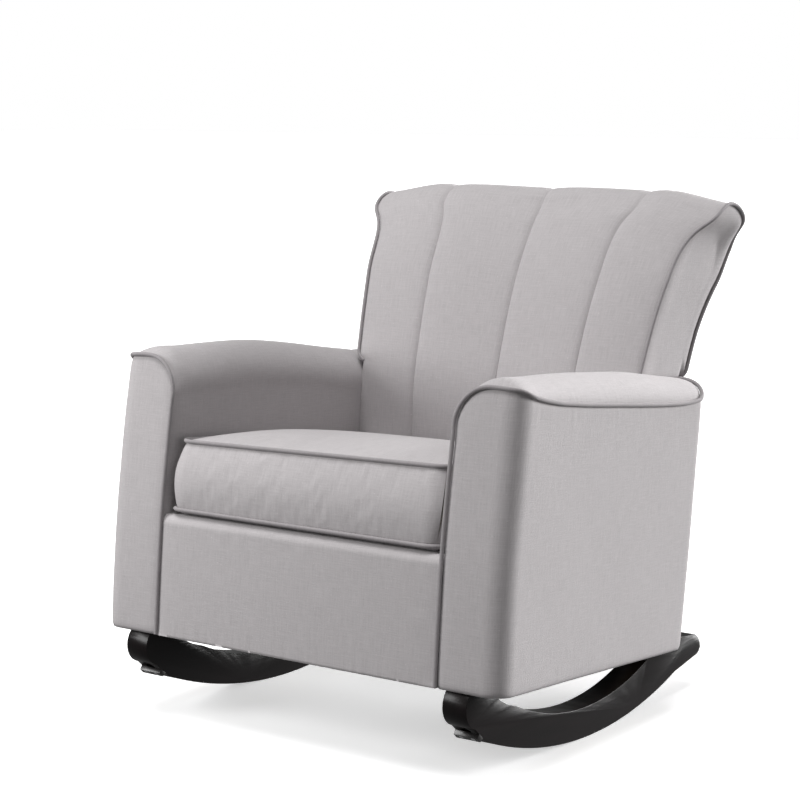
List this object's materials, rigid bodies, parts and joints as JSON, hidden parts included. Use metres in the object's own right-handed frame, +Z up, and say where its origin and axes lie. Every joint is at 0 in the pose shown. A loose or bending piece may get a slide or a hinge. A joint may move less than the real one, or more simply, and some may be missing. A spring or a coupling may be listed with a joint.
{
  "type": "rocking chair",
  "caption": "Upholstered nursery rocking chair with padded arms, channelled scroll back, loose seat cushion and dark wooden rockers.",
  "frame": {"origin": "on the floor, under the middle of the whole chair's box", "axes": "+X to the right as seen from the front, +Y towards the back, +Z up"},
  "size_m": [0.8038, 0.8698, 0.8735],
  "materials": {
    "linen": "plain woven warm grey linen look, matte",
    "foam": "polyurethane foam under wadding",
    "frame_wood": "unfinished hardwood and plywood",
    "fibre_board": "raw fibre board",
    "espresso_wood": "very dark brown stain under satin lacquer",
    "stop_plastic": "dark glossy moulded plastic",
    "spring_steel": "oiled spring wire",
    "zinc_steel": "zinc plated",
    "webbing": "elastic woven strap",
    "black_cloth": "thin spun-bonded black cloth",
    "zip_tape": "woven zip tape with nylon chain",
    "zip_metal": "plated zip slider"
  },
  "bodies": {
    "chair": {"arm_bottom_rail_left": "frame_wood", "arm_bottom_rail_right": "frame_wood", "arm_front_post_left": "frame_wood", "arm_front_post_right": "frame_wood", "arm_padding_left": "linen", "arm_padding_right": "linen", "arm_piping_left": "linen", "arm_piping_right": "linen", "arm_rear_post_left": "frame_wood", "arm_rear_post_right": "frame_wood", "arm_side_lining_left": "fibre_board", "arm_side_lining_right": "fibre_board", "arm_top_rail_left": "frame_wood", "arm_top_rail_right": "frame_wood", "back_bottom_rail": "frame_wood", "back_middle_rail": "frame_wood", "back_outside_panel": "linen", "back_padding": "linen", "back_piping_left": "linen", "back_piping_right": "linen", "back_side_frame_left": "frame_wood", "back_side_frame_right": "frame_wood", "back_side_panel_left": "linen", "back_side_panel_right": "linen", "back_top_rail": "frame_wood", "back_webbing": "webbing", "corner_blocks": "frame_wood", "dust_cover": "black_cloth", "frame_screws": "zinc_steel", "front_apron": "linen", "rocker_bolts": "zinc_steel", "rocker_left": "espresso_wood", "rocker_right": "espresso_wood", "rocker_stop_left": "stop_plastic", "rocker_stop_right": "stop_plastic", "rocker_tee_nuts": "zinc_steel", "rocker_washers": "zinc_steel", "seat_deck": "foam", "seat_front_rail": "frame_wood", "seat_rear_rail": "frame_wood", "seat_side_rail_left": "frame_wood", "seat_side_rail_right": "frame_wood", "seat_springs": "spring_steel", "spring_clips": "spring_steel", "stop_screws": "zinc_steel", "wing_blocks": "frame_wood"},
    "seat_cushion": {"cushion_bottom_piping": "linen", "cushion_core": "foam", "cushion_cover": "linen", "cushion_top_piping": "linen", "zip_tape": "zip_tape"},
    "zip_slider": {"zip_slider": "zip_metal", "zip_pull": "zip_metal"}
  },
  "joints": [
    {"name": "cushion_lift", "type": "slide", "parent": "chair", "child": "seat_cushion", "axis": [0, 0.0698, 0.9976], "range_m": [0, 0.25]},
    {"name": "zip_travel", "type": "slide", "parent": "seat_cushion", "child": "zip_slider", "axis": [-1, 0, 0], "range_m": [0, 0.424]}
  ]
}
